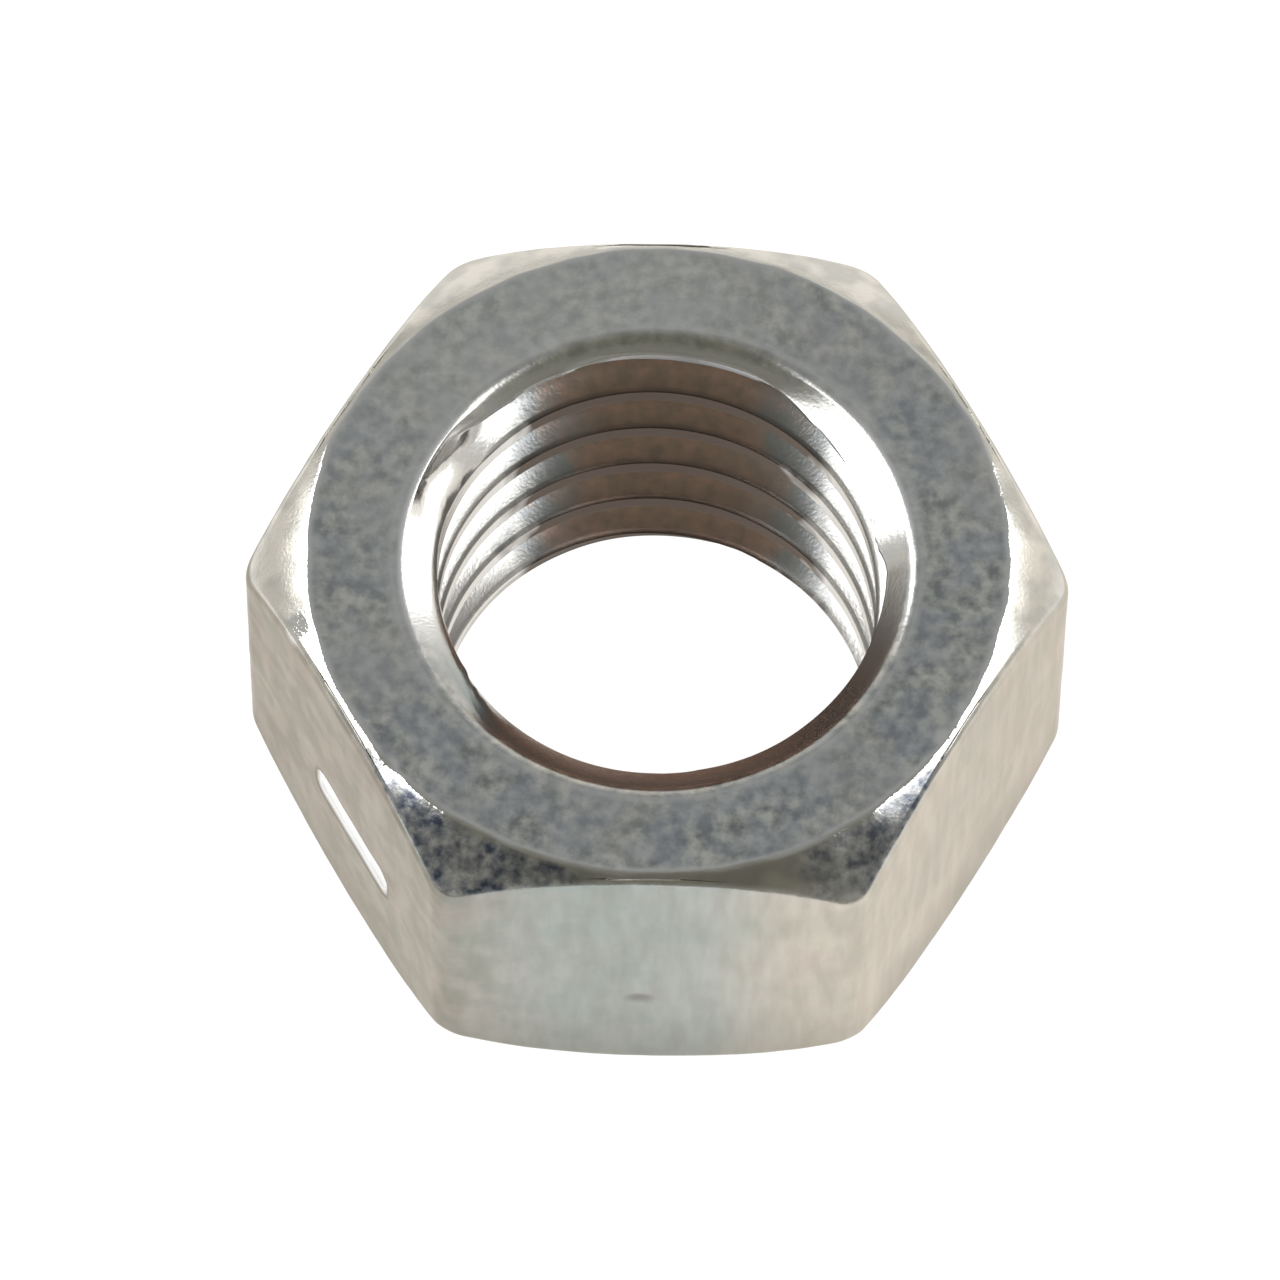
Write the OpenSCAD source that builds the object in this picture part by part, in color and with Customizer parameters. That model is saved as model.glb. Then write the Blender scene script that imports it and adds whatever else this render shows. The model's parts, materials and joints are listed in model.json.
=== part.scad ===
// Hex nut, M10 x 1.5 coarse right-hand thread, small series: 14 mm across flats, 8 mm high.
// One piece of steel: a forged hexagon, crowned on both ends, bored, countersunk and tapped.
// The origin is the centre of the lower bearing face. +Z runs up the thread axis,
// X runs through two opposite corners and Y through the middles of two opposite flats.

/* [Body] */
// Width across two opposite flats, which is the wrench size
across_flats = 14; // [13.7:0.1:14.5]
// Width across two opposite corners, which the forging rounds off
across_corners = 15.95; // [15.3:0.05:16.1]
// Height between the two bearing faces
height = 8; // [6.5:0.1:10]
// Diameter of the flat bearing face at each end
face_d = 13.55; // [12.5:0.05:13.7]
// Slope of the crown where it leaves the bearing face, measured from that face
crown_start_angle = 30; // [20:1:35]
// Slope of the crown at the corners, measured from the bearing face
crown_end_angle = 50; // [36:1:60]

/* [Thread] */
// Major diameter, at the roots of the thread in the nut
thread_major_d = 10; // [9.8:0.01:10.1]
// Minor diameter, at the crests of the thread in the nut
thread_minor_d = 8.5; // [8.38:0.01:8.68]
// Pitch, the rise of the thread in one turn
pitch = 1.5; // [1:0.25:1.75]
// Height of the middle of a crest where the thread crosses the +X axis, modulo one pitch
crest_phase = 0.2; // [0:0.05:1.45]

/* [Countersinks] */
// Diameter of each countersink at its bearing face
countersink_d = 10.1; // [10:0.05:10.8]
// Included angle of each countersink
countersink_angle = 90; // [80:5:110]
// Length of the plain wall left at the minor diameter between a countersink and the thread
land_length = 0.35; // [0.2:0.05:0.6]

/* [Pressed mark] */
// Length of the plain pressed bar on one flat, with its round ends
mark_length = 3; // [2:0.1:5]
// Width of the bar
mark_width = 0.9; // [0.5:0.05:1.2]
// Depth of the bar below the flat
mark_depth = 0.06; // [0.03:0.01:0.25]
// Height of the bar's middle above the lower bearing face
mark_height = 3.5; // [2.5:0.1:5]
// Distance of the bar's middle from the flat's middle, positive anticlockwise from above
mark_shift = 0.4; // [-1:0.1:1]

/* [Hidden] */

// Facets that stand for a round surface
round_fn = 96;
// How far a cutting tool runs past the surface that it cuts
overrun = 0.5;

// The flat with the pressed mark faces this way, between the -X corner and the -Y flat
mark_azimuth = 210;

// Hexagon, and the crown: an arc that steepens from the bearing face to the corners,
// turned as a few bands
hexagon_r = across_flats / 2 / cos(30);
corner_r = across_corners / 2;
face_r = face_d / 2;
crown_bands = 4;
crown_arc_r = (corner_r - face_r) / (sin(crown_end_angle) - sin(crown_start_angle));

// Countersinks, whose cones end at the minor diameter
minor_r = thread_minor_d / 2;
countersink_r = countersink_d / 2;
cone_slope = tan(countersink_angle / 2);
countersink_depth = (countersink_r - minor_r) / cone_slope;

// Thread form: 60 degree flanks and a flat root of an eighth of a pitch, with the crest's flat
// as wide as they leave it. Half widths are shares of the pitch.
// The crests stand a hair outside the minor radius, so that the two lands alone set it.
thread_columns = 72;
crest_relief = 0.02;
crest_r = minor_r + crest_relief;
root_r = thread_major_d / 2;
root_half = 1 / 16;
flank_share = (root_r - crest_r) * tan(30) / pitch;
crest_half = 1 / 2 - root_half - flank_share;
thread_form = [
    [0, crest_r],
    [crest_half, crest_r],
    [1 / 2 - root_half, root_r],
    [1 / 2 + root_half, root_r],
    [1 - crest_half, crest_r],
    [1, crest_r]
];
form_corners = [for (k = [1:4]) thread_form[k][0]];
corners_per_turn = len(form_corners);

// Height over which the thread is cut, and the turns that cover it with one to spare at each end
thread_bottom = countersink_depth + land_length;
thread_top = height - thread_bottom;
first_turn = floor((thread_bottom - crest_phase) / pitch) - 2;
last_turn = ceil((thread_top - crest_phase) / pitch) + 1;
rows = (last_turn - first_turn) * corners_per_turn;

// Slope of the crown after a number of bands
function crown_angle(band) =
    crown_start_angle + (crown_end_angle - crown_start_angle) * band / crown_bands;

// Radius of the crown after a number of bands
function crown_r(band) =
    face_r + crown_arc_r * (sin(crown_angle(band)) - sin(crown_start_angle));

// Depth of the crown below the bearing face after a number of bands
function crown_drop(band) =
    crown_arc_r * (cos(crown_start_angle) - cos(crown_angle(band)));

// Fractional part of a number
function fraction(x) = x - floor(x);

// Radius of the thread at a height on a column, where columns count round the axis from +X
function thread_radius(column, z) =
    lookup(fraction((z - crest_phase) / pitch - column / thread_columns), thread_form);

// Height where a corner line of the thread form crosses a column, held between the ends
function corner_height(column, row) =
    let (turn = first_turn + floor(row / corners_per_turn))
    let (share = turn + form_corners[row % corners_per_turn] + column / thread_columns)
    max(thread_bottom, min(thread_top, crest_phase + pitch * share));

// Point of the thread surface on a column and a corner line
function thread_point(column, row) =
    let (z = corner_height(column, row))
    let (r = thread_radius(column, z))
    let (angle = 360 * column / thread_columns)
    [r * cos(angle), r * sin(angle), z];

// A triangle is kept when its three corners are different points
function is_triangle(points, t) =
    points[t[0]] != points[t[1]] && points[t[1]] != points[t[2]] && points[t[2]] != points[t[0]];

// Solid that the tap removes: a core with the helical thread ridge round it.
// Each column's points follow the thread, so the last column meets the first one turn higher up.
module tap() {
    side = [for (column = [0:thread_columns - 1]) for (row = [0:rows - 1]) thread_point(column, row)];
    bottom_centre = len(side);
    top_centre = bottom_centre + 1;
    points = concat(side, [[0, 0, thread_bottom], [0, 0, thread_top]]);
    triangles = [
        for (column = [0:thread_columns - 1])
            let (closing = column == thread_columns - 1)
            let (here = column * rows)
            let (next = closing ? corners_per_turn : here + rows)
            let (last_row = closing ? rows - corners_per_turn - 2 : rows - 2)
            each concat(
                [for (row = [0:last_row]) [here + row, here + row + 1, next + row]],
                [for (row = [0:last_row]) [next + row, here + row + 1, next + row + 1]],
                [[bottom_centre, here, next]],
                [[top_centre, next + last_row + 1, here + rows - 1]]
            )
    ];
    polyhedron(points = points, faces = [for (t = triangles) if (is_triangle(points, t)) t]);
}

// Six-sided bar with a corner on +X
module hexagon_bar() {
    cylinder(h = height, r = hexagon_r, $fn = 6);
}

// Turned outline that cuts the corners back and crowns both ends
module crown_envelope() {
    lower = [for (band = [0:crown_bands]) [crown_r(band), crown_drop(band)]];
    upper = [for (band = [crown_bands:-1:0]) [crown_r(band), height - crown_drop(band)]];
    rotate_extrude($fn = round_fn)
        polygon(concat([[0, 0]], lower, upper, [[0, height]]));
}

// Plain bore at the minor diameter with a countersink at each end
module bore_and_countersinks() {
    mouth_r = countersink_r + overrun * cone_slope;
    rotate_extrude($fn = round_fn)
        polygon([
            [0, -overrun],
            [mouth_r, -overrun],
            [minor_r, countersink_depth],
            [minor_r, height - countersink_depth],
            [mouth_r, height + overrun],
            [0, height + overrun]
        ]);
}

// Bar with round ends, standing into the marked flat
module pressed_mark() {
    half_straight = (mark_length - mark_width) / 2;
    cut = mark_depth + overrun;
    rotate([0, 0, mark_azimuth])
        translate([across_flats / 2 - mark_depth, mark_shift, mark_height])
            rotate([0, 90, 0]) {
                translate([-mark_width / 2, -half_straight, 0])
                    cube([mark_width, 2 * half_straight, cut]);
                for (side = [-1, 1])
                    translate([0, side * half_straight, 0])
                        cylinder(h = cut, d = mark_width, $fn = 32);
            }
}

module hex_nut() {
    color("silver")
        difference() {
            intersection() {
                hexagon_bar();
                crown_envelope();
            }
            bore_and_countersinks();
            tap();
            pressed_mark();
        }
}

hex_nut();
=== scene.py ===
import json
import math

import bpy
import numpy as np
from mathutils import Matrix, Vector, noise


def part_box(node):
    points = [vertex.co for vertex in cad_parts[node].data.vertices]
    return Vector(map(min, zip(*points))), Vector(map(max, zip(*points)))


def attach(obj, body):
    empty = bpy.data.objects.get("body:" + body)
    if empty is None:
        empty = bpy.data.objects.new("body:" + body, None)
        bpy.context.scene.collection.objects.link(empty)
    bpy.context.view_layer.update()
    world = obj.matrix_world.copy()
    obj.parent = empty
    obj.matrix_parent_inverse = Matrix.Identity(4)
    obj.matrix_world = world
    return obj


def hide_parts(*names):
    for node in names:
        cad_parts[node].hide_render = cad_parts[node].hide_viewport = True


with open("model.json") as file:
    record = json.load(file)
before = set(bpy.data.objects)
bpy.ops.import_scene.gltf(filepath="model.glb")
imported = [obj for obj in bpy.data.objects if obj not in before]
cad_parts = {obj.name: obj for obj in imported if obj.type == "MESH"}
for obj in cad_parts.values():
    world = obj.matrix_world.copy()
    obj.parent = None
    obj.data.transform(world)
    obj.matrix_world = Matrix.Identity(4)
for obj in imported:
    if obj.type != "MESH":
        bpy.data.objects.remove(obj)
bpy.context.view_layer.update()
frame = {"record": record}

# The nut is worked out in millimetres, and its last step makes the mesh in metres.
# The studio's own sizes are in metres.
MM = 0.001

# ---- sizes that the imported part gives
low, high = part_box("hex_nut")
MOUNTS = {mount["name"]: mount for mount in frame["record"]["mounts"]}
HEIGHT = (high.z - low.z) / MM
FLAT_R = (high.y - low.y) / 2 / MM
CORNER_R = (high.x - low.x) / 2 / MM
CREST_R = MOUNTS["thread"]["dims"]["r_mm"]

# ---- sizes of features inside that box
FACE_R = 6.775           # flat bearing face
CROWN_START = math.radians(30)
CROWN_END = math.radians(50)
CROWN_SINES = (0.1, 0.95)    # sines of the crown's slope stay between these, off its ends
CROWN_ARC = (CORNER_R - FACE_R) / (math.sin(CROWN_END) - math.sin(CROWN_START))
SINK_R = 4.97            # countersinks at the bearing faces
SINK_SHIFT = 0.08        # how far the countersinks sit off the axis, towards -Y
ROOT_R = 5.0             # thread roots
PITCH = 1.5
CREST_PHASE = 0.2        # height of a crest where it crosses +X
SINK_SLOPE = 1.0         # radius gained per height on a countersink
WALL_SLOPE = 0.45        # the same on the wall over the last groove, where it opens into the end
FLAT_DEPTH = 0.42        # depth of a countersink where it is cut flatter
LAST_TURN = 4            # turn of the crest below the upper countersink
FLANK_SLOPE = 1 / math.tan(math.radians(30))    # the same on thread flanks and flatter countersinks
ROOT_HALF = PITCH / 16   # half the height of the flat at a root, and next at a crest
CREST_HALF = PITCH / 2 - ROOT_HALF - (ROOT_R - CREST_R) / FLANK_SLOPE
GROOVE_FADE = (0.1, 0.45)    # heights past a countersink's start between which the groove fades

# ---- azimuths where a change in the countersinks starts, is full, starts to end and has ended
RUN_OUT = (134, 148, 198, 232)
FLAT_RIGHT = (0, 16, 42, 70)
OPENING = (136, 178)     # start and end of the last groove's move up to the flatter countersink

# ---- waviness of the bearing faces' edge: waves in a turn, size, start
RIM_WAVES = ((5, 0.018, 0.6), (11, 0.014, 2.0), (24, 0.010, 4.0), (41, 0.006, 1.0))

# ---- how soft the edges are: length taken off each side of a corner
SINK_EDGE = 0.21
FLAT_SHARPER = 0.5       # share that this is less by where the countersinks are cut flatter
FACE_EDGE = 0.09
SIDE_EDGE = 0.165
THREAD_EDGE = 0.05

# ---- mesh density: columns round each side of the hexagon, from the +X corner anticlockwise
COLUMNS = (66, 66, 66, 160, 90, 132)
CORNER_BUNCHING = 0.3
FILLET_STEPS = (0, 0.2, 0.4, 0.6, 0.8, 1)
SAME_HEIGHT = 0.002      # rows of the bore that are closer than this become one
NEAR_END = 0.01          # rows of the bore that are nearer than this to its ends move onto them

# ---- rows between the rounded edges, as shares of the way: they are close at the bar and the dents
FACE_ROWS = (0.04, 0.14, 0.28, 0.42, 0.56, 0.68, 0.78, 0.86, 0.92, 0.97)
CROWN_ROWS = (0.12, 0.37, 0.63, 0.88)
FLAT_ROWS = (
    0.01, 0.04, 0.1, 0.17, 0.24, 0.31, 0.38, 0.44, 0.48,
    *np.arange(0.5, 0.66, 0.0075),
    0.67, 0.685, 0.7, 0.74, 0.79, 0.85, 0.91, 0.96, 0.99,
)
SIDE_CLEARANCE = 0.7     # share of the sides' rounding that the crown's rows stay clear of
SINK_STEP = 0.2          # depth in the countersinks of the points that the profile's ends aim at


# ---------------------------------------------------------------- shape

def column_angles():
    """Angle of every column of the mesh, closer together at the hexagon's corners."""
    parts = []
    for side, count in enumerate(COLUMNS):
        u = np.arange(count) / count
        parts.append(side + u - CORNER_BUNCHING * np.sin(2 * np.pi * u) / (2 * np.pi))
    return np.radians(60) * np.concatenate(parts)


def outline_radius(angle):
    """Radius of the hexagon with its rounded corners."""
    sixth = math.radians(30)
    off = np.mod(angle, 2 * sixth) - sixth
    rounding = (FLAT_R / math.cos(sixth) - CORNER_R) / (1 / math.cos(sixth) - 1)
    centre = (FLAT_R - rounding) / math.cos(sixth)
    from_corner = sixth - np.abs(off)
    inside = rounding ** 2 - (centre * np.sin(from_corner)) ** 2
    curve = centre * np.cos(from_corner) + np.sqrt(np.maximum(inside, 0))
    tangent = math.atan(centre * math.sin(sixth) / FLAT_R)
    return np.where(np.abs(off) < tangent, FLAT_R / np.cos(off), curve)


def point(r, z, like):
    """A profile point (radius, height) for every column."""
    return np.stack([np.broadcast_to(r, like.shape), np.broadcast_to(z, like.shape)], axis=-1)


def unit(v):
    return v / np.linalg.norm(v, axis=-1, keepdims=True)


def smooth_step(x, start, end):
    """0 up to the start, 1 from the end on, and a smooth rise between them."""
    t = np.clip((x - start) / (end - start), 0.0, 1.0)
    return t * t * (3 - 2 * t)


def rim_radius(angle):
    """Radius of the bearing faces' edge, which the forging leaves a little wavy."""
    return FACE_R + sum(size * np.sin(waves * angle + start) for waves, size, start in RIM_WAVES)


def crown_drop(r):
    """Depth of the crown below the bearing face at a radius."""
    slope = np.arcsin(np.clip((r - FACE_R) / CROWN_ARC + math.sin(CROWN_START), *CROWN_SINES))
    return CROWN_ARC * (math.cos(CROWN_START) - np.cos(slope))


def rounded_path(corners):
    """Rows of profile points through (corner, length it is rounded by, rows after it)."""
    rows = []
    for k in range(1, len(corners) - 1):
        here, setback, _ = corners[k]
        start = here + setback * unit(corners[k - 1][0] - here)
        end = here + setback * unit(corners[k + 1][0] - here)
        if rows:
            rows += [rows[-1] + t * (start - rows[-1]) for t in corners[k - 1][2]]
        steps = FILLET_STEPS if np.any(setback) else (0,)
        rows += [(1 - t) ** 2 * start + 2 * t * (1 - t) * here + t ** 2 * end for t in steps]
    return rows


def outer_rows(angle):
    """Profile rows from the upper countersink's edge over the outside to the lower one."""
    side, sink = outline_radius(angle), sink_radius(angle)
    sink_edge = SINK_EDGE * (1 - FLAT_SHARPER * flat_share(angle))[:, None]
    rim = rim_radius(angle)
    width = side - FACE_R
    inner, outer = FACE_EDGE / width, 1 - SIDE_CLEARANCE * SIDE_EDGE / width
    shares = [inner + (outer - inner) * t for t in CROWN_ROWS]
    crown = [(rim + (side - rim) * t, crown_drop(FACE_R + width * t)) for t in shares]
    upper = [(point(r, HEIGHT - drop, side), 0, []) for r, drop in crown]
    lower = [(point(r, drop, side), 0, []) for r, drop in crown[::-1]]
    in_sink = sink - SINK_STEP * mouth_slope(angle)
    corners = [
        (point(in_sink, HEIGHT - SINK_STEP, side), 0, []),
        (point(sink, HEIGHT, side), sink_edge, FACE_ROWS),
        (point(rim, HEIGHT, side), FACE_EDGE, []),
        *upper,
        (point(side, HEIGHT - crown_drop(side), side), SIDE_EDGE, FLAT_ROWS),
        (point(side, crown_drop(side), side), SIDE_EDGE, []),
        *lower,
        (point(rim, 0, side), FACE_EDGE, [1 - t for t in FACE_ROWS[::-1]]),
        (point(sink, 0, side), sink_edge, []),
        (point(in_sink, SINK_STEP, side), 0, []),
    ]
    return np.stack(rounded_path(corners), axis=1)


def sink_radius(angle):
    """Radius of both countersinks at the bearing faces, seen from the thread axis."""
    return SINK_R - SINK_SHIFT * np.sin(angle)


def sink_ends(angle):
    """Heights where the two countersinks run out at the thread's crests."""
    depth = (sink_radius(angle) - CREST_R) / SINK_SLOPE
    return depth, HEIGHT - depth


def cut_by_sinks(angle, lower, upper):
    """Where a crest's two edges run once the countersinks cut into its flanks."""
    k, s = FLANK_SLOPE, SINK_SLOPE
    bottom, top = sink_ends(angle)
    new_upper = np.where(upper > top, (k * upper - s * top) / (k - s), upper)
    new_lower = np.where(lower > top, (k * lower + s * top) / (k + s), lower)
    new_lower = np.where(lower < bottom, (k * lower - s * bottom) / (k - s), new_lower)
    new_upper = np.where(upper < bottom, (k * upper + s * bottom) / (k + s), new_upper)
    return new_lower, new_upper


def thread_heights(angle):
    """Heights of the rows that follow the thread, in every column, and the rows in one turn."""
    bottom, top = thread_ends()
    sink_bottom, sink_top = sink_ends(angle)
    first = math.floor((bottom - CREST_PHASE) / PITCH) - 3
    last = math.ceil((top - CREST_PHASE) / PITCH) + 2
    rows = []
    for turn in range(first, last):
        crest = CREST_PHASE + PITCH * (turn + angle / (2 * math.pi))
        lower, upper = cut_by_sinks(angle, crest - CREST_HALF, crest + CREST_HALF)
        root = crest + PITCH / 2
        next_lower, _ = cut_by_sinks(angle, crest + PITCH - CREST_HALF, crest + PITCH + CREST_HALF)
        rows += [
            lower - THREAD_EDGE,
            lower + THREAD_EDGE,
            np.clip(sink_bottom, lower + 1.5 * THREAD_EDGE, upper - 2 * THREAD_EDGE),
            np.clip(sink_top, lower + 2 * THREAD_EDGE, upper - 1.5 * THREAD_EDGE),
            upper - THREAD_EDGE,
            upper + THREAD_EDGE,
            (upper + root - ROOT_HALF) / 2,
            root - ROOT_HALF - THREAD_EDGE,
            root - ROOT_HALF + THREAD_EDGE,
            root + ROOT_HALF - THREAD_EDGE,
            root + ROOT_HALF + THREAD_EDGE,
            (root + ROOT_HALF + next_lower) / 2,
        ]
    per_turn = len(rows) // (last - first)
    z = np.stack(rows, axis=1)
    z = np.where(z < bottom + NEAR_END, bottom, np.where(z > top - NEAR_END, top, z))
    return np.maximum.accumulate(z, axis=1), per_turn


def thread_ends():
    """Heights where the bore's rows end, just inside the two rounded edges."""
    inset = 1.1 * SINK_EDGE
    return inset, HEIGHT - inset


def stretch_share(angle, stretch):
    """Share from 0 to 1 and back to 0 of a stretch of azimuths such as RUN_OUT."""
    start, full, falls, end = stretch
    degrees = np.degrees(angle)
    return smooth_step(degrees, start, full) * (1 - smooth_step(degrees, falls, end))


def flat_share(angle):
    """How much of the flatter cut the countersinks have at an angle, on both sides."""
    return np.maximum(stretch_share(angle, RUN_OUT), stretch_share(angle, FLAT_RIGHT))


def mouth_slope(angle):
    """Radius gained per height at the very ends of the bore."""
    return SINK_SLOPE + (FLANK_SLOPE - SINK_SLOPE) * flat_share(angle)


def bore_radius(angle, z):
    """Radius of the tapped and countersunk bore."""
    turn = (z - CREST_PHASE) / PITCH - angle / (2 * math.pi)
    from_crest = PITCH * np.abs(turn - np.round(turn))
    thread = np.clip(CREST_R + FLANK_SLOPE * (from_crest - CREST_HALF), CREST_R, ROOT_R)
    bottom, top = sink_ends(angle)
    in_sink = np.maximum(z - top, bottom - z)
    thread -= (thread - CREST_R) * smooth_step(in_sink, *GROOVE_FADE)
    from_end = np.minimum(z, HEIGHT - z)
    wall = sink_radius(angle) - WALL_SLOPE * from_end
    steep = CREST_R + SINK_SLOPE * in_sink
    flat = np.minimum(CREST_R + FLANK_SLOPE * (FLAT_DEPTH - from_end), wall)
    bore = np.maximum(thread, steep + flat_share(angle) * (flat - steep))
    over_last, opened = opened_groove(angle, z, wall)
    return bore + stretch_share(angle, RUN_OUT) * over_last * (opened - bore)


def opened_groove(angle, z, wall):
    """Where a point is over the last crest, and the radius of its flank drawn out to the wall."""
    last_crest = CREST_PHASE + PITCH * (angle / (2 * math.pi) + LAST_TURN)
    foot = last_crest + CREST_HALF
    foot += (HEIGHT - FLAT_DEPTH - foot) * smooth_step(np.degrees(angle), *OPENING)
    return z > last_crest, np.clip(CREST_R + FLANK_SLOPE * (z - foot), CREST_R, wall)


def joined_rows(z):
    """Vertex index of each point of the bore, where points at the same height are one."""
    keep = np.ones(z.shape, bool)
    keep[:, 1:] = np.diff(z, axis=1) > SAME_HEIGHT
    index = np.cumsum(keep.ravel()) - 1
    return index.reshape(z.shape), keep


def nut_surface():
    """Points, as (angle, radius, height), and faces of the whole closed surface."""
    angle = column_angles()
    n = len(angle)
    z, per_turn = thread_heights(angle)
    index, keep = joined_rows(z)
    bore_angle = np.broadcast_to(angle[:, None], z.shape)[keep]
    bore = np.stack([bore_angle, bore_radius(bore_angle, z[keep]), z[keep]], axis=1)
    outer = outer_rows(angle)
    rows = outer.shape[1]
    outer_angle = np.broadcast_to(angle[:, None], outer.shape[:2])
    shell = np.concatenate([outer_angle[..., None], outer], axis=2).reshape(-1, 3)
    outer_index = len(bore) + np.arange(n * rows).reshape(n, rows)

    faces = []
    last = z.shape[1] - 1
    # Past the last column, the thread's rows go on one turn further up the first one.
    for i in range(n):
        j = (i + 1) % n
        shift = per_turn if i == n - 1 else 0
        here = index[i]
        there = index[j][np.minimum(np.arange(last + 1) + shift, last)]
        faces.append(strip(here, there))
        around = np.concatenate([[index[i][-1]], outer_index[i], [index[i][0]]])
        beside = np.concatenate([[index[j][-1]], outer_index[j], [index[j][0]]])
        faces.append(strip(around, beside))
    return np.concatenate([bore, shell]), np.concatenate(faces), len(bore)


def strip(here, there):
    """Four-cornered faces between two columns of vertex indices."""
    return np.stack([here[:-1], here[1:], there[1:], there[:-1]], axis=1)


def clean_faces(quads):
    """Faces as tuples, where a corner that appears twice is used once."""
    faces = []
    for quad in quads.tolist():
        corners = [c for k, c in enumerate(quad) if c != quad[k - 1]]
        if len(set(corners)) == len(corners) and len(corners) > 2:
            faces.append(tuple(corners))
    return faces


def surface_normals(points, faces):
    """Normal at every vertex, where a larger face counts for more."""
    quads = np.array([f if len(f) == 4 else (*f, f[-1]) for f in faces])
    cross = np.cross(points[quads[:, 2]] - points[quads[:, 0]], points[quads[:, 3]] - points[quads[:, 1]])
    normals = np.zeros_like(points)
    for k in range(4):
        np.add.at(normals, quads[:, k], cross)
    return unit(normals)


# ---------------------------------------------------------------- marks left by making and handling, and painted light and shade

BAR = {
    "azimuth": 210, "start": -1.02, "end": 1.82, "z": 3.5, "width": 0.9, "depth": 0.05, "corner": 0.3,
    "ramp": (-0.06, 0.03), "burr_off": 0.04, "burr_width": 0.06,
}
PIT = {"azimuth": 270, "along": -0.18, "z": 2.87, "size": 0.38, "depth": 0.03, "flattened": 1.4}
FLAT_MARGIN = 1.0        # marks on a flat stay this far from the two bearing faces
RIM_DENTS = (
    # azimuth, radius, size, depth
    (-137.6, 6.80, 0.30, 0.03),
    (-27.7, 6.74, 0.26, 0.02),
    (-34.0, 6.72, 0.34, 0.02),
    (-95.0, 6.72, 0.18, 0.01),
    (43.4, 6.70, 0.26, 0.02),
    (115.0, 5.10, 0.26, 0.02),
    (-167.0, 7.05, 0.50, 0.012),
)

FLAT_LIGHTING_TONES = (
    # azimuth, how lit the flat there is painted: painted light and shade by side
    (0, 0.82), (60, 0.60), (120, 0.55), (180, 0.08), (205, 0.18), (235, 0.10), (250, 0.46),
    (268, 0.49), (284, 0.82), (300, 1), (335, 0.84), (360, 0.82),
)
COOL_REFLECTION_TONES = (
    # azimuth, how green-grey a painted reflection makes the coat on the flat there
    (0, 0), (110, 0.3), (150, 0.3), (180, 0), (235, 0.1), (255, 0.8), (278, 0.8), (292, 0.1), (360, 0),
)
FACE_HIGHLIGHT_TONES = (
    # azimuth, how strong the painted highlight on the upper bearing face is there
    (0, 0.15), (60, 0.3), (90, 1), (135, 0.8), (180, 0.2), (225, 0.15), (270, 0), (320, 0), (360, 0.15),
)
SINK_HIGHLIGHT_TONES = (
    # azimuth, how strong the painted highlight in the upper countersink is there
    (0, 0.1), (10, 1), (35, 1), (55, 0), (128, 0), (145, 0.7), (165, 1), (192, 1), (208, 0.3),
    (225, 0), (360, 0.1),
)
# painted shade: the upper countersink darker, and duller, towards the front
SHADED_DULL_SINK = {"azimuth": 270, "full": 45, "end": 85}
RUST = {
    # heights: the upper one lets the crests' painted shade darken the upper countersink's lip in the
    # patch
    "azimuth": 88, "full": 13.5, "end": 58.5, "heights": (7.38, 7.78),
    "ragged": ((10, 1.1, 7.0), (6, 4.0, 1.0)),    # size, scale, seed
}
STAINS = (
    # azimuth, half width, strength
    (239, 21, 1.0),
    (309, 14, 0.85),
)
STAIN_EDGE = {"fade": 6, "ragged": 8, "scale": 1.6, "seed": 5.0, "heights": (6.3, 6.5)}
LOW_SHADE_HEIGHTS = (0.2, 2.8)      # painted shade: full on the outside below, none above
CROWN_FACING = (0.56, 0.64)     # size of the normal's Z: a side below, a crown or face above
SINK_DEPTHS = (0.75, 0.6)       # none of the upper countersink's marks deeper, all nearer its end
FACE_RUB_HIGHLIGHT = 0.09                 # width of the rubbed band along the edge of a bearing face, partly a painted highlight
# a rubbed ring on the bearing face just outside each countersink, partly a painted highlight
SINK_RUB_HIGHLIGHT = {"width": 0.07, "off": 0.15, "strength": 0.6}
WAVINESS = (
    # depth, scale, seed: first over everything, then over the outside
    (0.006, 0.9, 3.0),
    (0.005, 2.6, 9.0),
)


def on_flat(points, azimuth):
    """How far points lie along a flat, and whether they are on it."""
    a = math.radians(azimuth)
    along = points[:, 1] * math.cos(a) - points[:, 0] * math.sin(a)
    out = points[:, 0] * math.cos(a) + points[:, 1] * math.sin(a)
    return along, (out > FLAT_R - 0.01) & (np.abs(points[:, 2] - HEIGHT / 2) < HEIGHT / 2 - FLAT_MARGIN)


def bar_distance(points):
    """Distance outside the pressed bar's outline, and whether a point is on its flat."""
    along, here = on_flat(points, BAR["azimuth"])
    middle = (BAR["start"] + BAR["end"]) / 2
    across = np.abs(points[:, 2] - BAR["z"]) - BAR["width"] / 2 + BAR["corner"]
    length = np.abs(along - middle) - (BAR["end"] - BAR["start"]) / 2 + BAR["corner"]
    return np.hypot(np.maximum(across, 0), np.maximum(length, 0)) - BAR["corner"], here


def pit_share(points):
    along, here = on_flat(points, PIT["azimuth"])
    distance = np.hypot(along - PIT["along"], PIT["flattened"] * (points[:, 2] - PIT["z"]))
    return np.where(here, 1 - smooth_step(distance, 0.2 * PIT["size"], PIT["size"]), 0)


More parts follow.
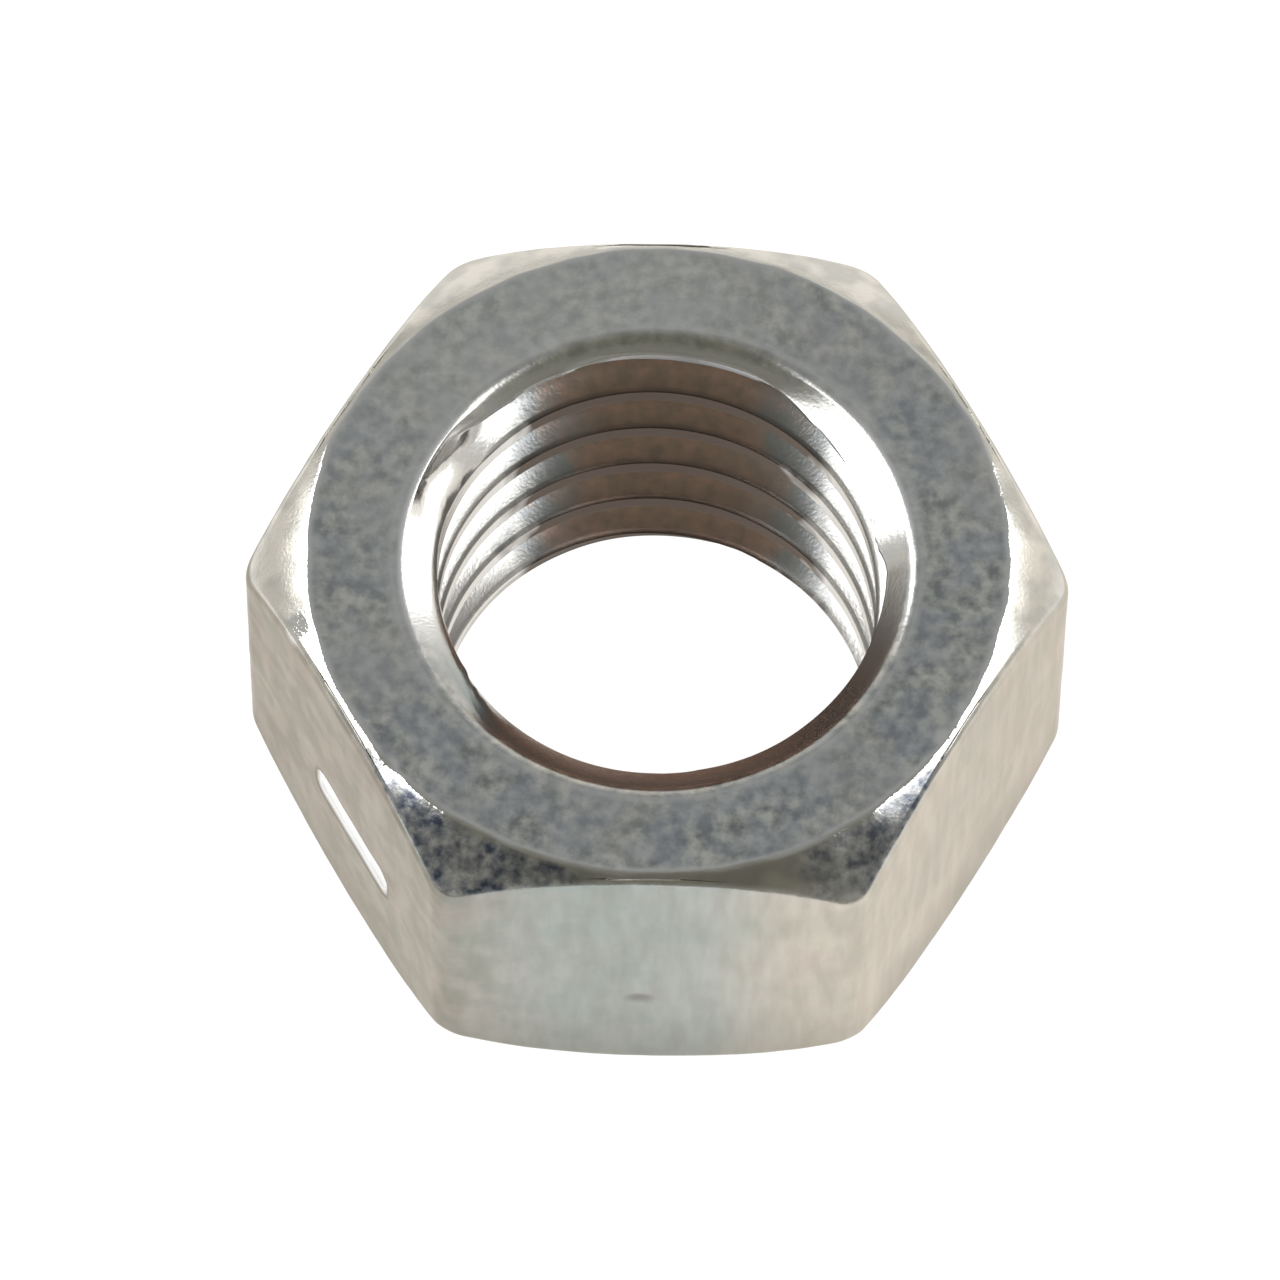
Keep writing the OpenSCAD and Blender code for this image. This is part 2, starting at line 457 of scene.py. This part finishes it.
def dent_shares(points):
    """Depth of the rim's dents, and how bright they are rubbed, partly a painted highlight."""
    depth = np.zeros(len(points))
    rub_and_highlight = np.zeros(len(points))
    for azimuth, radius, size, deep in RIM_DENTS:
        a = math.radians(azimuth)
        level = HEIGHT - crown_drop(max(radius, FACE_R))
        spot = np.array([radius * math.cos(a), radius * math.sin(a), level])
        distance = np.linalg.norm(points - spot, axis=1)
        depth = np.maximum(depth, deep * (1 - smooth_step(distance, 0, 1.5 * size)))
        rub_and_highlight = np.maximum(rub_and_highlight, 1 - smooth_step(distance, 0.3 * size, 0.9 * size))
    return depth, rub_and_highlight


def noise_at(points, scale, seed):
    """Smooth noise between about -1 and 1 at every point."""
    shift = Vector((seed, 2.3 * seed, -1.7 * seed))
    return np.array([noise.noise(Vector(p) * scale + shift) for p in points])


def nut_mesh():
    """The nut's mesh with the marks pressed and worn into it, and its painted light and shade stored on
    it.
    """
    polar, quads, bore_count = nut_surface()
    turn, radius, z = polar.T
    points = np.stack([radius * np.cos(turn), radius * np.sin(turn), z], axis=1)
    faces = clean_faces(quads)
    normals = surface_normals(points, faces)
    in_bore = np.zeros(len(points))
    in_bore[:bore_count] = 1
    outside = (in_bore == 0) & (radius > FACE_R)
    marks, sunk = pressed_marks(points, polar)
    marks |= outside_marks(points, polar, normals, outside)
    marks |= bore_marks(points, polar, in_bore)
    for (deep, scale, seed), where in zip(WAVINESS, (1, outside)):
        sunk += deep * where * (1 + noise_at(points, scale, seed))
    return finished_mesh(points - normals * sunk[:, None], faces, marks)


def finished_mesh(points, faces, marks):
    """A smooth mesh in metres, with each mark stored on its points."""
    mesh = bpy.data.meshes.new("nut_body")
    mesh.from_pydata((points * MM).tolist(), [], faces)
    mesh.validate()
    mesh.polygons.foreach_set("use_smooth", np.ones(len(mesh.polygons), bool))
    mesh.normals_split_custom_set_from_vertices(surface_normals(points, faces).tolist())
    for name in MARKS:
        stored = mesh.attributes.new(name, "FLOAT", "POINT")
        stored.data.foreach_set("value", marks[name].astype(np.float32))
    return mesh


def pressed_marks(points, polar):
    """Shares of the bar, the pit, the dents and the rubbed edges with their painted highlight, and how
    deep they all are.
    """
    off_bar, by_bar = bar_distance(points)
    bar = np.where(by_bar, 1 - smooth_step(off_bar, *BAR["ramp"]), 0)
    burr = np.where(by_bar, np.exp(-((off_bar - BAR["burr_off"]) / BAR["burr_width"]) ** 2), 0)
    pit = pit_share(points)
    dents, dent_rub_and_highlight = dent_shares(points)
    marks = {
        # wear and a painted highlight along the edges and on the dents
        "rub_and_highlight": np.maximum(edge_rub_and_highlight(polar), dent_rub_and_highlight),
        "bar": bar,
        "soil": np.maximum(0.6 * pit, 0.7 * burr),
    }
    return marks, BAR["depth"] * bar + PIT["depth"] * pit + dents


def outside_marks(points, polar, normals, outside):
    """Shares that tell the crown from the sides, paint light and shade on the outside by azimuth and
    towards its bottom, and stain it.
    """
    facing = smooth_step(np.abs(normals[:, 2]), *CROWN_FACING)
    return {
        "crown": outside * facing * smooth_step(polar[:, 1], FACE_R, FACE_R + 0.1),
        "side": outside * (1 - facing),
        # painted light and shade: each flat lighter or darker by azimuth
        "flat_lighting": tone_at(polar, FLAT_LIGHTING_TONES),
        # painted reflection: a green-grey tint on the flats by azimuth
        "cool_reflection": tone_at(polar, COOL_REFLECTION_TONES),
        # painted highlight: the bearing face lighter towards the back
        "face_highlight": tone_at(polar, FACE_HIGHLIGHT_TONES),
        # painted shade: the outside darkens towards its bottom
        "low_shade": outside * (1 - smooth_step(points[:, 2], *LOW_SHADE_HEIGHTS)),
        "stain": outside * stain_share(points, polar),
    }


def bore_marks(points, polar, in_bore):
    """Shares that tell the thread's crests, the upper countersink's painted highlight and shade, and the
    soil in the bore.
    """
    turn, radius, z = polar.T
    in_sink = smooth_step(z, *(HEIGHT - depth for depth in SINK_DEPTHS))
    in_sink *= 1 - smooth_step(radius - sink_radius(turn), 0, 0.12)
    off_front = np.abs(np.degrees(turn) - SHADED_DULL_SINK["azimuth"])
    return {
        "bore": in_bore,
        "crest": in_bore * (1 - smooth_step(radius, CREST_R + 0.02, CREST_R + 0.12)),
        # painted highlight in the upper countersink, by azimuth
        "cut": in_sink * tone_at(polar, SINK_HIGHLIGHT_TONES),
        # painted shade, with a duller coat, at the front of the upper countersink
        "dull_and_shaded": in_bore * in_sink * (1 - smooth_step(off_front, SHADED_DULL_SINK["full"], SHADED_DULL_SINK["end"])),
        "rust": in_bore * rust_share(points, polar),
    }


def tone_at(polar, tones):
    """Value of a table of azimuths at every point."""
    return np.interp(np.degrees(polar[:, 0]), *zip(*tones))


def edge_rub_and_highlight(polar):
    """How much the coat is rubbed bright along the edges of the bearing faces, partly a painted highlight
    line.
    """
    turn, radius, z = polar.T
    end = np.minimum(np.abs(z), np.abs(HEIGHT - z))
    off_face = np.hypot(radius - rim_radius(turn), end)
    off_sink = np.hypot(radius - sink_radius(turn) - SINK_RUB_HIGHLIGHT["off"], end)
    face_edge = np.exp(-(off_face / FACE_RUB_HIGHLIGHT) ** 2)
    sink_edge = SINK_RUB_HIGHLIGHT["strength"] * np.exp(-(off_sink / SINK_RUB_HIGHLIGHT["width"]) ** 2)
    return np.maximum(face_edge, sink_edge)


def rust_share(points, polar):
    """Brown soil in the thread, in one patch of the bore with a ragged edge."""
    off = np.abs(np.degrees(polar[:, 0]) - RUST["azimuth"])
    off += sum(size * noise_at(points, scale, seed) for size, scale, seed in RUST["ragged"])
    patch = 1 - smooth_step(off, RUST["full"], RUST["end"])
    return patch * (1 - smooth_step(points[:, 2], *RUST["heights"]))


def stain_share(points, polar):
    """Dark staining on two corners of the upper crown."""
    ragged = STAIN_EDGE["ragged"] * noise_at(points, STAIN_EDGE["scale"], STAIN_EDGE["seed"])
    fade = STAIN_EDGE["fade"]
    share = np.zeros(len(points))
    for azimuth, half_width, strength in STAINS:
        off = np.abs(np.degrees(polar[:, 0]) - azimuth) + ragged
        share = np.maximum(share, strength * (1 - smooth_step(off, half_width - fade, half_width + fade)))
    return share * smooth_step(points[:, 2], *STAIN_EDGE["heights"])


# ---------------------------------------------------------------- material

MARKS = (
    "rub_and_highlight", "bar", "soil", "bore", "crest", "crown", "side", "flat_lighting", "cool_reflection", "face_highlight", "cut", "dull_and_shaded",
    "rust", "low_shade", "stain",
)
FACE_DARK, FACE_LIGHT = (0.32, 0.34, 0.335), (0.84, 0.83, 0.76)
FACE_BLUE, FACE_PALE = (0.50, 0.53, 0.62), (0.74, 0.72, 0.68)
# the last colour is the painted highlight on the bearing faces
FACE_HIGHLIGHT_COLOUR = (0.95, 0.94, 0.88)
# the flats' painted shaded and lit colours
SIDE_SHADED, SIDE_LIT = (0.19, 0.165, 0.13), (0.70, 0.64, 0.55)
# the last colour is a painted green-grey reflection on the flats
SIDE_GREEN, SIDE_PINK, SIDE_COOL_REFLECTION = (0.36, 0.40, 0.33), (0.62, 0.52, 0.47), (0.33, 0.45, 0.47)
CROWN_DARK, CROWN_LIGHT = (0.56, 0.55, 0.51), (0.74, 0.71, 0.65)
STAIN_DARK, STAIN_LIGHT = (0.11, 0.14, 0.21), (0.80, 0.81, 0.82)
EDGE_TINT, EDGE_WHITE = (0.86, 0.82, 0.76), (1.0, 1.0, 1.0)
THREAD_CLEAN, CREST_CLEAN = (0.76, 0.75, 0.73), (0.80, 0.79, 0.77)
# the first colour is a painted highlight in the upper countersink
# the second colour is painted shade at the front of the upper countersink
SINK_HIGHLIGHT_COLOUR, SINK_SHADED = (0.97, 0.96, 0.94), (0.41, 0.48, 0.50)
THREAD_RUST, THREAD_BROWN = (0.80, 0.56, 0.47), (0.58, 0.45, 0.38)
# the second colour is painted shade: crests in the soiled patch nearly black
THREAD_SOOT, CREST_SHADE_IN_RUST = (0.50, 0.52, 0.53), (0.078, 0.058, 0.049)
# the first colour is worn coat and a painted highlight on the edges and dents
# the second colour is the pressed bar's near-white finish, partly a painted highlight
RUBBED_HIGHLIGHT, BAR_FINISH_HIGHLIGHT = (0.90, 0.89, 0.86), (0.98, 0.98, 0.97)
# the second colour is painted shade, for the outside towards its bottom
SOIL, LOW_SHADE = (0.16, 0.13, 0.10), (0.16, 0.15, 0.12)
COAT_ROUGHNESS = (0.34, 0.44)
MARK_ROUGHNESS = (("bore", 0.22), ("dull_and_shaded", 0.45), ("crest", 0.55), ("rub_and_highlight", 0.24))
BUMP = {"strength": 0.5, "depth": 0.008, "specks": 0.3}


def link(tree, source, target):
    tree.links.new(source, target)


def node(tree, kind, **values):
    made = tree.nodes.new(kind)
    for name, value in values.items():
        setattr(made, name, value)
    return made


def noise_node(tree, coords, scale, detail, roughness=0.5):
    made = node(tree, "ShaderNodeTexNoise")
    made.inputs["Scale"].default_value = scale
    made.inputs["Detail"].default_value = detail
    made.inputs["Roughness"].default_value = roughness
    link(tree, coords, made.inputs["Vector"])
    return made.outputs["Fac"]


def stretched(tree, coords):
    """Coordinates in which a texture is drawn out along the thread axis."""
    made = node(tree, "ShaderNodeMapping")
    made.inputs["Scale"].default_value = (1, 1, 0.2)
    link(tree, coords, made.inputs["Vector"])
    return made.outputs["Vector"]


def spread(tree, value, *ends):
    """A value moved from one range (low, high) to another, and kept inside it."""
    made = node(tree, "ShaderNodeMapRange")
    for name, number in zip(("From Min", "From Max", "To Min", "To Max"), ends):
        made.inputs[name].default_value = number
    link(tree, value, made.inputs["Value"])
    return made.outputs["Result"]


def up_to(tree, share, most):
    """A share from 0 to 1, scaled down to at most a smaller number."""
    return spread(tree, share, 0, 1, 0, most)


def mix_value(tree, share, a, b):
    made = node(tree, "ShaderNodeMix", data_type="FLOAT")
    for socket, value in zip(made.inputs, (share, a, b)):
        if isinstance(value, (int, float)):
            socket.default_value = value
        else:
            link(tree, value, socket)
    return made.outputs[0]


def mix_colour(tree, share, a, b):
    made = node(tree, "ShaderNodeMix", data_type="RGBA")
    for socket, value in ((made.inputs[0], share), (made.inputs[6], a), (made.inputs[7], b)):
        if isinstance(value, (int, float)):
            socket.default_value = value
        elif isinstance(value, tuple):
            socket.default_value = (*value, 1)
        else:
            link(tree, value, socket)
    return made.outputs[2]


def attribute(tree, name):
    """A mark that the mesh stores, as a value in its material."""
    return node(tree, "ShaderNodeAttribute", attribute_name=name).outputs["Fac"]


def coat_patterns(tree):
    """The coat's noise patterns by name, from coarse to fine, in millimetres on the object."""
    place = node(tree, "ShaderNodeMapping")
    place.inputs["Scale"].default_value = (1 / MM, 1 / MM, 1 / MM)
    link(tree, node(tree, "ShaderNodeTexCoord").outputs["Object"], place.inputs["Vector"])
    place = place.outputs["Vector"]
    return {
        "patch": spread(tree, noise_node(tree, place, 0.55, 2), 0.42, 0.58, 0, 1),
        "blotch": spread(tree, noise_node(tree, place, 1.4, 2), 0.40, 0.60, 0, 1),
        "grain": spread(tree, noise_node(tree, place, 3.4, 3, 0.55), 0.34, 0.66, 0, 1),
        "speck": noise_node(tree, place, 14.0, 2),
        "streak": spread(tree, noise_node(tree, stretched(tree, place), 3.0, 3), 0.36, 0.64, 0, 1),
    }


def face_colour(tree, coat, part):
    face = mix_colour(tree, coat["grain"], FACE_DARK, FACE_LIGHT)
    face = mix_colour(tree, up_to(tree, coat["blotch"], 0.4), face, FACE_BLUE)
    face = mix_colour(tree, up_to(tree, coat["patch"], 0.3), face, FACE_PALE)
    # painted highlight: the bearing face lighter towards the back
    return mix_colour(tree, up_to(tree, part["face_highlight"], 0.45), face, FACE_HIGHLIGHT_COLOUR)


def side_colour(tree, coat, part):
    # painted light and shade: each flat between its shaded and lit colour by azimuth
    side = mix_colour(tree, part["flat_lighting"], SIDE_SHADED, SIDE_LIT)
    side = mix_colour(tree, coat["patch"], side, mix_colour(tree, 0.3, side, SIDE_GREEN))
    side = mix_colour(tree, up_to(tree, coat["blotch"], 0.35), side, SIDE_PINK)
    # painted reflection: green-grey tint on the flats by azimuth
    side = mix_colour(tree, up_to(tree, part["cool_reflection"], 0.6), side, SIDE_COOL_REFLECTION)
    return mix_colour(tree, coat["streak"], mix_colour(tree, 0.2, side, SOIL), side)


def crown_colour(tree, coat, part):
    crown = mix_colour(tree, coat["blotch"], CROWN_DARK, CROWN_LIGHT)
    stain = mix_colour(tree, coat["grain"], STAIN_DARK, STAIN_LIGHT)
    return mix_colour(tree, part["stain"], crown, stain)


def bore_colour(tree, coat, part):
    """Clean thread, then dark soil towards the middle of its patch, then brown soil, with painted shade
    on the crests in the patch.
    """
    clean = mix_colour(tree, part["crest"], THREAD_CLEAN, CREST_CLEAN)
    brown = mix_colour(tree, coat["grain"], THREAD_RUST, THREAD_BROWN)
    rust = mix_colour(tree, spread(tree, part["rust"], 0.6, 0.95, 0, 1), THREAD_SOOT, brown)
    # painted shade: the crests in the soiled patch nearly black
    rust = mix_colour(tree, part["crest"], rust, CREST_SHADE_IN_RUST)
    bore = mix_colour(tree, spread(tree, part["rust"], 0.15, 0.45, 0, 1), clean, rust)
    # painted shade at the front of the upper countersink
    return mix_colour(tree, part["dull_and_shaded"], bore, SINK_SHADED)


def coat_colour(tree, coat, part):
    """Colour of the whole nut: each kind of surface, then the marks and painted highlights over it."""
    colour = mix_colour(tree, part["side"], face_colour(tree, coat, part), side_colour(tree, coat, part))
    colour = mix_colour(tree, part["crown"], colour, crown_colour(tree, coat, part))
    # painted shade towards the bottom of the outside
    colour = mix_colour(tree, up_to(tree, part["low_shade"], 0.4), colour, LOW_SHADE)
    colour = mix_colour(tree, part["bore"], colour, bore_colour(tree, coat, part))
    # painted highlight: the upper countersink lightened by azimuth
    # rubbed edges lightened as wear and a painted highlight
    for mark, over in (("cut", SINK_HIGHLIGHT_COLOUR), ("rub_and_highlight", RUBBED_HIGHLIGHT), ("soil", SOIL), ("bar", BAR_FINISH_HIGHLIGHT)):
        colour = mix_colour(tree, part[mark], colour, over)
    return colour


def coat_roughness(tree, coat, part):
    rough = spread(tree, coat["grain"], 0, 1, *COAT_ROUGHNESS)
    for mark, value in MARK_ROUGHNESS:
        rough = mix_value(tree, part[mark], rough, value)
    return rough


def coat_bump(tree, coat):
    """The coat's grain, a few thousandths of a millimetre deep."""
    bump = node(tree, "ShaderNodeBump")
    bump.inputs["Strength"].default_value = BUMP["strength"]
    bump.inputs["Distance"].default_value = BUMP["depth"] * MM
    link(tree, mix_value(tree, BUMP["specks"], coat["grain"], coat["speck"]), bump.inputs["Height"])
    return bump.outputs["Normal"]


def zinc_material():
    material = bpy.data.materials.new("zinc_plated_steel")
    material.use_nodes = True
    tree = material.node_tree
    shader = tree.nodes["Principled BSDF"]
    coat = coat_patterns(tree)
    part = {name: attribute(tree, name) for name in MARKS}
    # the bar's white edge tint adds to its painted highlight
    edge_tint = mix_colour(tree, part["bar"], EDGE_TINT, EDGE_WHITE)
    shader.inputs["Metallic"].default_value = 1.0
    link(tree, coat_colour(tree, coat, part), shader.inputs["Base Color"])
    link(tree, coat_roughness(tree, coat, part), shader.inputs["Roughness"])
    link(tree, coat_bump(tree, coat), shader.inputs["Normal"])
    link(tree, edge_tint, shader.inputs["Specular Tint"])
    return material


# ---------------------------------------------------------------- studio

FLOOR = {"size": 3.0, "colour": (0.15, 0.15, 0.15), "roughness": 0.9, "glow": 0.98, "gap": 0.00002}
BOX_ELEVATION = 38.5
BOX_DISTANCE = 1.0
BOX_SIZE = (1.06, 0.32)
SOFT_BOXES = (
    # name, azimuth, roll, power
    ("left_soft_box", 167, 30, 3.1),
    ("right_soft_box", 13, -30, 2.9),
)
ROOM = {
    "front": (0.30, 0.30, 0.27), "front_ceiling": (0.16, 0.155, 0.13),
    "back_left": (0.60, 0.58, 0.54), "back_right": (0.90, 0.86, 0.79),
    "back_ceiling": (0.33, 0.34, 0.34),
    # parts of the unit direction between which one colour turns into the other
    "left_to_right": (-0.8, 0.8), "front_to_back": (-0.45, 0.25),
    "front_to_ceiling": (0.2, 0.6), "back_to_ceiling": (0.1, 0.6),
}
# angles in degrees, distance and slides in millimetres
CAMERA = {
    "turn": 0.63, "elevation": 63.22, "roll": 0.55,
    "distance": 255.8, "slide_right": -0.317, "slide_up": 0.201,
    "lens": 367.8, "sensor": 36, "clip_start": 0.01,
}


def add_object(name, data):
    made = bpy.data.objects.new(name, data)
    bpy.context.scene.collection.objects.link(made)
    return made


def floor():
    """A pale floor just under the nut, bright enough to stand for the photo's white ground."""
    mesh = bpy.data.meshes.new("floor")
    corners = [(x * FLOOR["size"], y * FLOOR["size"], 0) for x, y in ((-1, -1), (1, -1), (1, 1), (-1, 1))]
    mesh.from_pydata(corners, [], [(0, 1, 2, 3)])
    material = bpy.data.materials.new("floor")
    material.use_nodes = True
    shader = material.node_tree.nodes["Principled BSDF"]
    shader.inputs["Base Color"].default_value = (*FLOOR["colour"], 1)
    shader.inputs["Roughness"].default_value = FLOOR["roughness"]
    shader.inputs["Emission Color"].default_value = (1, 1, 1, 1)
    shader.inputs["Emission Strength"].default_value = FLOOR["glow"]
    mesh.materials.append(material)
    made = add_object("floor", mesh)
    made.location.z = -FLOOR["gap"]


def soft_box(name, azimuth, roll, power):
    """A soft box that faces the nut. Azimuth is measured from +X anticlockwise."""
    data = bpy.data.lights.new(name, "AREA")
    data.shape = "RECTANGLE"
    data.size, data.size_y = BOX_SIZE
    data.energy = power
    made = add_object(name, data)
    a, e = math.radians(azimuth), math.radians(BOX_ELEVATION)
    direction = Vector((math.cos(a) * math.cos(e), math.sin(a) * math.cos(e), math.sin(e)))
    facing = direction.to_track_quat("Z", "Y").to_matrix().to_4x4()
    turn = Matrix.Rotation(math.radians(roll), 4, "Z")
    made.matrix_world = Matrix.Translation(direction * BOX_DISTANCE) @ facing @ turn


def world_light():
    """A dim room that is darker towards the photographer and the ceiling over them."""
    world = bpy.data.worlds.new("studio")
    bpy.context.scene.world = world
    world.use_nodes = True
    tree = world.node_tree
    background = tree.nodes["Background"]
    direction = node(tree, "ShaderNodeTexCoord").outputs["Generated"]
    axes = node(tree, "ShaderNodeSeparateXYZ")
    link(tree, direction, axes.inputs[0])
    rise = axes.outputs["Z"]
    rightwards = spread(tree, axes.outputs["X"], *ROOM["left_to_right"], 0, 1)
    backwards = spread(tree, axes.outputs["Y"], *ROOM["front_to_back"], 0, 1)
    front_rise = spread(tree, rise, *ROOM["front_to_ceiling"], 0, 1)
    back_rise = spread(tree, rise, *ROOM["back_to_ceiling"], 0, 1)
    front = mix_colour(tree, front_rise, ROOM["front"], ROOM["front_ceiling"])
    horizon = mix_colour(tree, rightwards, ROOM["back_left"], ROOM["back_right"])
    back = mix_colour(tree, back_rise, horizon, ROOM["back_ceiling"])
    link(tree, mix_colour(tree, backwards, front, back), background.inputs["Color"])


def camera():
    """The photo's long lens: it looks down at the nut from the front, a little turned and rolled."""
    turn, elevation, roll = (math.radians(CAMERA[name]) for name in ("turn", "elevation", "roll"))
    distance, slide_right, slide_up = (
        CAMERA[name] * MM for name in ("distance", "slide_right", "slide_up")
    )
    back = Vector((
        math.cos(elevation) * math.sin(turn),
        -math.cos(elevation) * math.cos(turn),
        math.sin(elevation),
    ))
    level = Vector((math.cos(turn), math.sin(turn), 0))
    rise = back.cross(level)
    right = math.cos(roll) * level + math.sin(roll) * rise
    up = math.cos(roll) * rise - math.sin(roll) * level
    data = bpy.data.cameras.new("camera")
    data.lens = CAMERA["lens"]
    data.sensor_width = CAMERA["sensor"]
    data.clip_start = CAMERA["clip_start"]
    made = add_object("camera", data)
    centre = Vector(((low.x + high.x) / 2, (low.y + high.y) / 2, (low.z + high.z) / 2))
    place = centre + back * distance + right * slide_right + up * slide_up
    axes = Matrix((right, up, back)).transposed().to_4x4()
    made.matrix_world = Matrix.Translation(place) @ axes
    bpy.context.scene.camera = made


# ---------------------------------------------------------------- scene

camera()
body = add_object("nut_body", nut_mesh())
body.data.materials.append(zinc_material())
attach(body, "root")
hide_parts("hex_nut")
floor()
world_light()
for box in SOFT_BOXES:
    soft_box(*box)
bpy.context.scene.view_settings.view_transform = "Standard"
